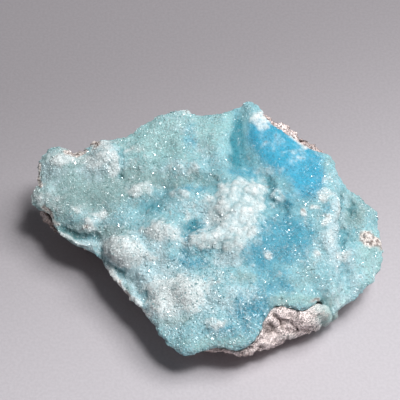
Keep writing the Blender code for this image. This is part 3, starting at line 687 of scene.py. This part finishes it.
def places_on(mesh, kind, rng):
    """Random points on the upper faces' crests: where, which way each faces, and its colour."""
    mesh.calc_loop_triangles()
    triangles = np.empty(len(mesh.loop_triangles) * 3, np.int32)
    mesh.loop_triangles.foreach_get("vertices", triangles)
    triangles = triangles.reshape(-1, 3)
    corners = corner_points(mesh)[triangles]
    across = np.cross(corners[:, 1] - corners[:, 0], corners[:, 2] - corners[:, 0])
    area = np.linalg.norm(across, axis=1)
    facing = across / np.maximum(area, TINY)[:, None]
    crest = corner_values(mesh, "crest", 1)[triangles].mean(axis=(1, 2))
    growth = corner_values(mesh, "growth", 1)[triangles].mean(axis=(1, 2))
    weight = area * growth
    weight *= smooth_step(*UPWARD_RANGE, facing[:, 2])
    weight *= smooth_step(*CREST_RANGE, crest)
    middles = corners.mean(axis=1)
    drifts = smooth_step(*DRIFT_RANGE, lumps(middles, *DRIFTS))
    weight *= 1 - kind["patchiness"] * (1 - drifts)
    weight *= 1 - kind["gathering"] * (1 - patch_strength(middles, GLITTER_PATCHES))
    count = kind["count"]
    chosen = rng.choice(len(area), count, p=weight / weight.sum())
    shares = rng.dirichlet((1, 1, 1), count)[:, :, None]
    place = (corners[chosen] * shares).sum(axis=1)
    tints = (corner_values(mesh, "tint", 4)[triangles[chosen], :3] * shares).sum(axis=1)
    return place, facing[chosen], tints


def unit(vectors):
    """The vectors, each made one long."""
    return vectors / np.linalg.norm(vectors, axis=1)[:, None]


def wedge_corners(ridge):
    """A crystal's corners, for a half width of one."""
    return np.array([
        (-1, -WEDGE_BREADTH, -WEDGE_SUNK), (1, -WEDGE_BREADTH, -WEDGE_SUNK),
        (1, WEDGE_BREADTH, -WEDGE_SUNK), (-1, WEDGE_BREADTH, -WEDGE_SUNK),
        (-RIDGE_LENGTH, 0, ridge), (RIDGE_LENGTH, 0, ridge),
    ])


def joined_crystals(name, corners, tints, wedge):
    """One mesh of many crystals. Each has a square of its own in the map that baking uses."""
    count = len(corners)
    faces = len(wedge) * np.arange(count)[:, None, None] + WEDGE_FACES
    mesh = bpy.data.meshes.new(name)
    mesh.from_pydata((corners.reshape(-1, 3) * MM).tolist(), [], faces.reshape(-1, 3).tolist())
    set_tint(mesh, np.repeat(tints, len(wedge), axis=0))
    squares = math.ceil(math.sqrt(count))
    square = np.stack([np.arange(count) % squares, np.arange(count) // squares], axis=1)
    slanted = [wedge[:, 0] + MAP_SLANT[0] * wedge[:, 1], wedge[:, 2] + MAP_SLANT[1] * wedge[:, 1]]
    in_square = 0.5 + MAP_SHARE * np.stack(slanted, axis=1)
    places = (square[:, None] + in_square[WEDGE_FACES.ravel()]) / squares
    mesh.uv_layers.new(name="OFBake").uv.foreach_set("vector", places.ravel())
    return mesh


def grow_druse(crust, kind):
    """Small wedge-ended crystals of one kind, all over the crust's upper side."""
    total = kind["count"]
    rng = np.random.default_rng(CRYSTAL_SEED + total)
    place, facing, tints = places_on(crust.data, kind, rng)
    smooth = patch_strength(place, SMOOTH_PATCHES)
    smooth *= 1 - patch_strength(place, FROST_AND_HIGHLIGHT_PATCHES)
    gap_shade = patch_strength(place, GAP_SHADE_PATCHES)
    size = kind["half_width"] * np.exp(SIZE_SPREAD * rng.standard_normal(total))
    size *= 1 - SMOOTH_SMALLER * smooth
    lean = unit(facing + kind["lean"] * rng.standard_normal((total, 3)))
    side = unit(np.cross(lean, rng.standard_normal((total, 3))))
    axes = np.stack([side, np.cross(lean, side), lean], axis=1)
    lay(tints, FROST_AND_HIGHLIGHT_WHITE, kind["most_pale"] * rng.random(total) * (1 - SMOOTH_DULLER * smooth))
    tints *= np.exp(SHADE_SPREAD * rng.standard_normal(total))[:, None]
    tints[rng.random(total) < GAP_SHADE_SHARE * gap_shade] *= np.array(GAP_SHADE_DARKENING)
    wedge = wedge_corners(kind["ridge"])
    corners = place[:, None] + (wedge[None] * size[:, None, None]) @ axes
    material = hemimorphite("hemimorphite_" + kind["name"], kind["roughness"]).material
    for turn in range(kind["pieces"]):
        mine = slice(turn, total, kind["pieces"])
        made = joined_crystals(f"{kind['name']}_{turn + 1}", corners[mine], tints[mine], wedge)
        made.materials.append(material)
        druse = bpy.data.objects.new(made.name, made)
        bpy.context.scene.collection.objects.link(druse)
        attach(druse, "root")


# Where a mix node keeps its colours, among sockets of the same names for other values
FIRST_COLOUR = 6
SECOND_COLOUR = 7
MIXED_COLOUR = 2


class Nodes:
    """Short ways to add and join shader nodes in one material."""

    def __init__(self, name):
        self.material = bpy.data.materials.new(name)
        self.material.use_nodes = True
        self.tree = self.material.node_tree
        self.shader = self.tree.nodes["Principled BSDF"]
        self.place = self.add("ShaderNodeTexCoord").outputs["Object"]

    def add(self, kind, **settings):
        """A new node with these settings."""
        node = self.tree.nodes.new(kind)
        for key, value in settings.items():
            setattr(node, key, value)
        return node

    def put(self, socket, value):
        """Joins a socket to another's output, or sets it to a number or colour."""
        if isinstance(value, bpy.types.NodeSocket):
            self.tree.links.new(value, socket)
        elif isinstance(value, tuple) and len(value) == 3 and socket.type == "RGBA":
            socket.default_value = (*value, 1.0)
        else:
            socket.default_value = value

    def field(self, name, output="Fac"):
        """What set_field or set_tint has written on the mesh under that name."""
        return self.add("ShaderNodeAttribute", attribute_name=name).outputs[output]

    def noise(self, size, detail, roughness=0.55):
        """Noise with lumps about that many millimetres across, 0 to 1."""
        node = self.add("ShaderNodeTexNoise")
        self.put(node.inputs["Vector"], self.place)
        node.inputs["Scale"].default_value = 1 / (size * MM)
        node.inputs["Detail"].default_value = detail
        node.inputs["Roughness"].default_value = roughness
        return node.outputs["Fac"]

    def cells(self, size):
        """Rounded cells about that many millimetres across, 0 in their middles."""
        node = self.add("ShaderNodeTexVoronoi")
        self.put(node.inputs["Vector"], self.place)
        node.inputs["Scale"].default_value = 1 / (size * MM)
        return node.outputs["Distance"]

    def combine(self, operation, first, second):
        """One value made from two."""
        node = self.add("ShaderNodeMath", operation=operation)
        self.put(node.inputs[0], first)
        self.put(node.inputs[1], second)
        return node.outputs[0]

    def ramp(self, value, low, high, to_low=0.0, to_high=1.0):
        """The value's stretch from low to high, smoothly carried to to_low and to_high."""
        node = self.add("ShaderNodeMapRange", interpolation_type="SMOOTHSTEP")
        for socket, given in zip(node.inputs, (value, low, high, to_low, to_high), strict=False):
            self.put(socket, given)
        return node.outputs[0]

    def grey(self, value):
        """A grey as light as the value."""
        node = self.add("ShaderNodeCombineColor")
        for socket in node.inputs:
            self.put(socket, value)
        return node.outputs[0]

    def mix(self, share, first, second, blend="MIX"):
        """The first colour with that share of the second laid over it."""
        node = self.add("ShaderNodeMix", data_type="RGBA", blend_type=blend)
        self.put(node.inputs["Factor"], share)
        self.put(node.inputs[FIRST_COLOUR], first)
        self.put(node.inputs[SECOND_COLOUR], second)
        return node.outputs[MIXED_COLOUR]

    def mottled(self, base, pattern, stretch):
        """The base made darker and lighter by a pattern."""
        return self.mix(1.0, base, self.grey(self.ramp(pattern, *stretch)), "MULTIPLY")

    def bump(self, height, distance, strength):
        """Fine relief by the height, which stands out by that many millimetres."""
        node = self.add("ShaderNodeBump")
        self.put(node.inputs["Height"], height)
        node.inputs["Distance"].default_value = distance * MM
        node.inputs["Strength"].default_value = strength
        return node.outputs["Normal"]


# The hemimorphite's refraction, how deep light gets into it, and how its own colour varies
REFRACTION = 1.62
GLOW_DEPTH = 0.5
STONE_MOTTLING = (0.3, 0.7, 0.84, 1.12)
# The crust between the crystals: how rough, glossy and translucent, and its cells as bumps
CRUST_ROUGHNESS = 0.55
CRUST_GLOSS = 0.25
CRUST_GLOW = 0.3
CRUST_CELLS = 0.4
CRUST_BUMPS = (0.08, 0.45)
# What the patches of painted light add to the rock's paleness, then its paleness, specks and grains:
# the stretch of each noise, and what it's carried to
PAINTED_LIGHT_ADDS = 0.16
PALE_STRETCH = (0.43, 0.61)
SPECK_STRETCH = (0.37, 0.45, 0.9, 0.0)
GRAIN_MOTTLING = (0.43, 0.57, 0.42, 1.4)
GRAIN_ROUGHNESS = (0.3, 0.7, 0.95, 0.6)
GRAIN_BUMPS = (0.25, 0.7)
# How strongly the rock's pits, its painted shadow and the painted shade in its hollows darken it, and
# how its seam and film cover it
PITS_AND_SHADOW_DARKEN = 0.6
HOLLOW_SHADE_DARKEN = (0.55, 0.95, 0.0, 0.7)
SEAM_COVERS = 0.85
FILM_COVERS = (0.3, 0.6, 0.5, 0.9)
# The table: half its width, its roughness, and its tooth's shades and bumps
FLOOR_HALF_WIDTH = 900
FLOOR_ROUGHNESS = 0.75
TOOTH_MOTTLING = (0.3, 0.7, 0.96, 1.04)
TOOTH_BUMPS = (0.08, 0.3)
# How much the table's right counts against its front, and the places between which its painted light
# turns it pale
SIDEWAYS_COUNTS = 0.3
FLOOR_PAINTED_LIGHT_TURNS = (-75 * MM, 45 * MM)


def hemimorphite(name, roughness, glow=0.0):
    """Glossy stone in the mesh's own colours, with its fine mottling."""
    nodes = Nodes(name)
    tint = nodes.field("tint", "Color")
    fine = nodes.noise(size=0.35, detail=3.0)
    shader = nodes.shader
    nodes.put(shader.inputs["Base Color"], nodes.mottled(tint, fine, STONE_MOTTLING))
    shader.inputs["Roughness"].default_value = roughness
    shader.inputs["IOR"].default_value = REFRACTION
    shader.inputs["Subsurface Weight"].default_value = glow
    shader.inputs["Subsurface Radius"].default_value = (1.0, 1.0, 1.0)
    shader.inputs["Subsurface Scale"].default_value = GLOW_DEPTH * MM
    return nodes


def crust_material():
    """The crust under and between the crystals, sugary and a little duller."""
    nodes = hemimorphite("hemimorphite", CRUST_ROUGHNESS, CRUST_GLOW)
    nodes.shader.inputs["Specular IOR Level"].default_value = CRUST_GLOSS
    nodes.put(nodes.shader.inputs["Normal"], nodes.bump(nodes.cells(CRUST_CELLS), *CRUST_BUMPS))
    return nodes.material


def rock_material():
    """Broken pinkish-grey matrix: pale grains, brown specks and dark pits, with painted shadow, painted
    shade in hollows and painted light in paler patches.
    """
    nodes = Nodes("matrix")
    patches = nodes.noise(size=1.6, detail=5.0, roughness=0.65)
    grains = nodes.noise(size=0.26, detail=3.0, roughness=0.75)
    specks = nodes.noise(size=0.5, detail=4.0, roughness=0.75)
    painted_light_added = nodes.combine("MULTIPLY", nodes.field("painted_light"), PAINTED_LIGHT_ADDS)
    paleness_and_painted_light = nodes.combine("ADD", patches, painted_light_added)
    base = nodes.mix(nodes.ramp(paleness_and_painted_light, *PALE_STRETCH), ROCK_GREY, ROCK_PALE)
    base = nodes.mix(nodes.ramp(specks, *SPECK_STRETCH), base, ROCK_DARK_AND_SHADE)
    base = nodes.mottled(base, grains, GRAIN_MOTTLING)
    pits_and_shadow = nodes.combine("MULTIPLY", nodes.field("pit_and_shadow"), PITS_AND_SHADOW_DARKEN)
    hollow_darkening = nodes.ramp(nodes.field("hollow_shade"), *HOLLOW_SHADE_DARKEN)
    base = nodes.mix(nodes.combine("MAXIMUM", pits_and_shadow, hollow_darkening), base, ROCK_DARK_AND_SHADE)
    base = nodes.mix(nodes.combine("MULTIPLY", nodes.field("seam"), SEAM_COVERS), base, ROCK_PALE)
    film = nodes.combine("MULTIPLY", nodes.field("film"), nodes.ramp(patches, *FILM_COVERS))
    base = nodes.mix(film, base, ROCK_FILM)
    shader = nodes.shader
    nodes.put(shader.inputs["Base Color"], base)
    nodes.put(shader.inputs["Roughness"], nodes.ramp(grains, *GRAIN_ROUGHNESS))
    nodes.put(shader.inputs["Normal"], nodes.bump(grains, *GRAIN_BUMPS))
    return nodes.material


def floor_material():
    """A plain pale table, made paler to the right and to the front by painted light, with a very fine
    tooth.
    """
    nodes = Nodes("table")
    tooth = nodes.noise(size=0.6, detail=2.0)
    split = nodes.add("ShaderNodeSeparateXYZ")
    nodes.put(split.inputs[0], nodes.place)
    sideways = nodes.combine("MULTIPLY", split.outputs["X"], SIDEWAYS_COUNTS)
    nearness = nodes.combine("SUBTRACT", sideways, split.outputs["Y"])
    base = nodes.mix(nodes.ramp(nearness, *FLOOR_PAINTED_LIGHT_TURNS), FLOOR_FAR_PAINTED_DIMMER, FLOOR_NEAR_PAINTED_BRIGHTER)
    nodes.put(nodes.shader.inputs["Base Color"], nodes.mottled(base, tooth, TOOTH_MOTTLING))
    nodes.shader.inputs["Roughness"].default_value = FLOOR_ROUGHNESS
    nodes.put(nodes.shader.inputs["Normal"], nodes.bump(tooth, *TOOTH_BUMPS))
    return nodes.material


def make_floor():
    """The table's flat top."""
    half = FLOOR_HALF_WIDTH * MM
    corners = [(-half, -half, 0), (half, -half, 0), (half, half, 0), (-half, half, 0)]
    mesh = bpy.data.meshes.new("floor")
    mesh.from_pydata(corners, [], [(0, 1, 2, 3)])
    mesh.materials.append(floor_material())
    floor = bpy.data.objects.new("floor", mesh)
    bpy.context.scene.collection.objects.link(floor)


def aim(thing, place, target):
    """Puts the thing at a place in millimetres, facing a target."""
    thing.location = Vector(place) * MM
    thing.rotation_euler = (Vector(target) - Vector(place)).to_track_quat("-Z", "Y").to_euler()


def make_light(name, place, width, power):
    """A round soft light over the specimen."""
    lamp = bpy.data.lights.new(name, "AREA")
    lamp.shape = "DISK"
    lamp.size = width * MM
    lamp.energy = power
    light = bpy.data.objects.new(name, lamp)
    bpy.context.scene.collection.objects.link(light)
    aim(light, place, LIT_PLACE)


def make_world():
    """The room's even glow."""
    world = bpy.data.worlds.new("room")
    bpy.context.scene.world = world
    world.use_nodes = True
    background = world.node_tree.nodes["Background"]
    background.inputs["Color"].default_value = (*ROOM_COLOUR, 1)
    background.inputs["Strength"].default_value = ROOM_BRIGHTNESS


def make_camera():
    """The display view's camera."""
    lens = bpy.data.cameras.new("display")
    lens.sensor_width = SENSOR_WIDTH
    lens.lens = SENSOR_WIDTH * VIEW_DISTANCE / (FRAME_PIXELS * PIXEL)
    lens.clip_start = NEAREST_SEEN * MM
    lens.clip_end = FARTHEST_SEEN * MM
    camera = bpy.data.objects.new("display", lens)
    bpy.context.scene.collection.objects.link(camera)
    outward = Vector((0, -math.cos(VIEW_ELEVATION), math.sin(VIEW_ELEVATION)))
    aim(camera, VIEW_TARGET + outward * VIEW_DISTANCE, VIEW_TARGET)
    bpy.context.scene.camera = camera


make_camera()
crust_surface = make_crust()
make_rock()
grow_druse(crust_surface, SUGAR)
grow_druse(crust_surface, SPARKLES)
make_floor()
for light in LIGHTS:
    make_light(*light)
make_world()
bpy.context.scene.view_settings.view_transform = "Standard"
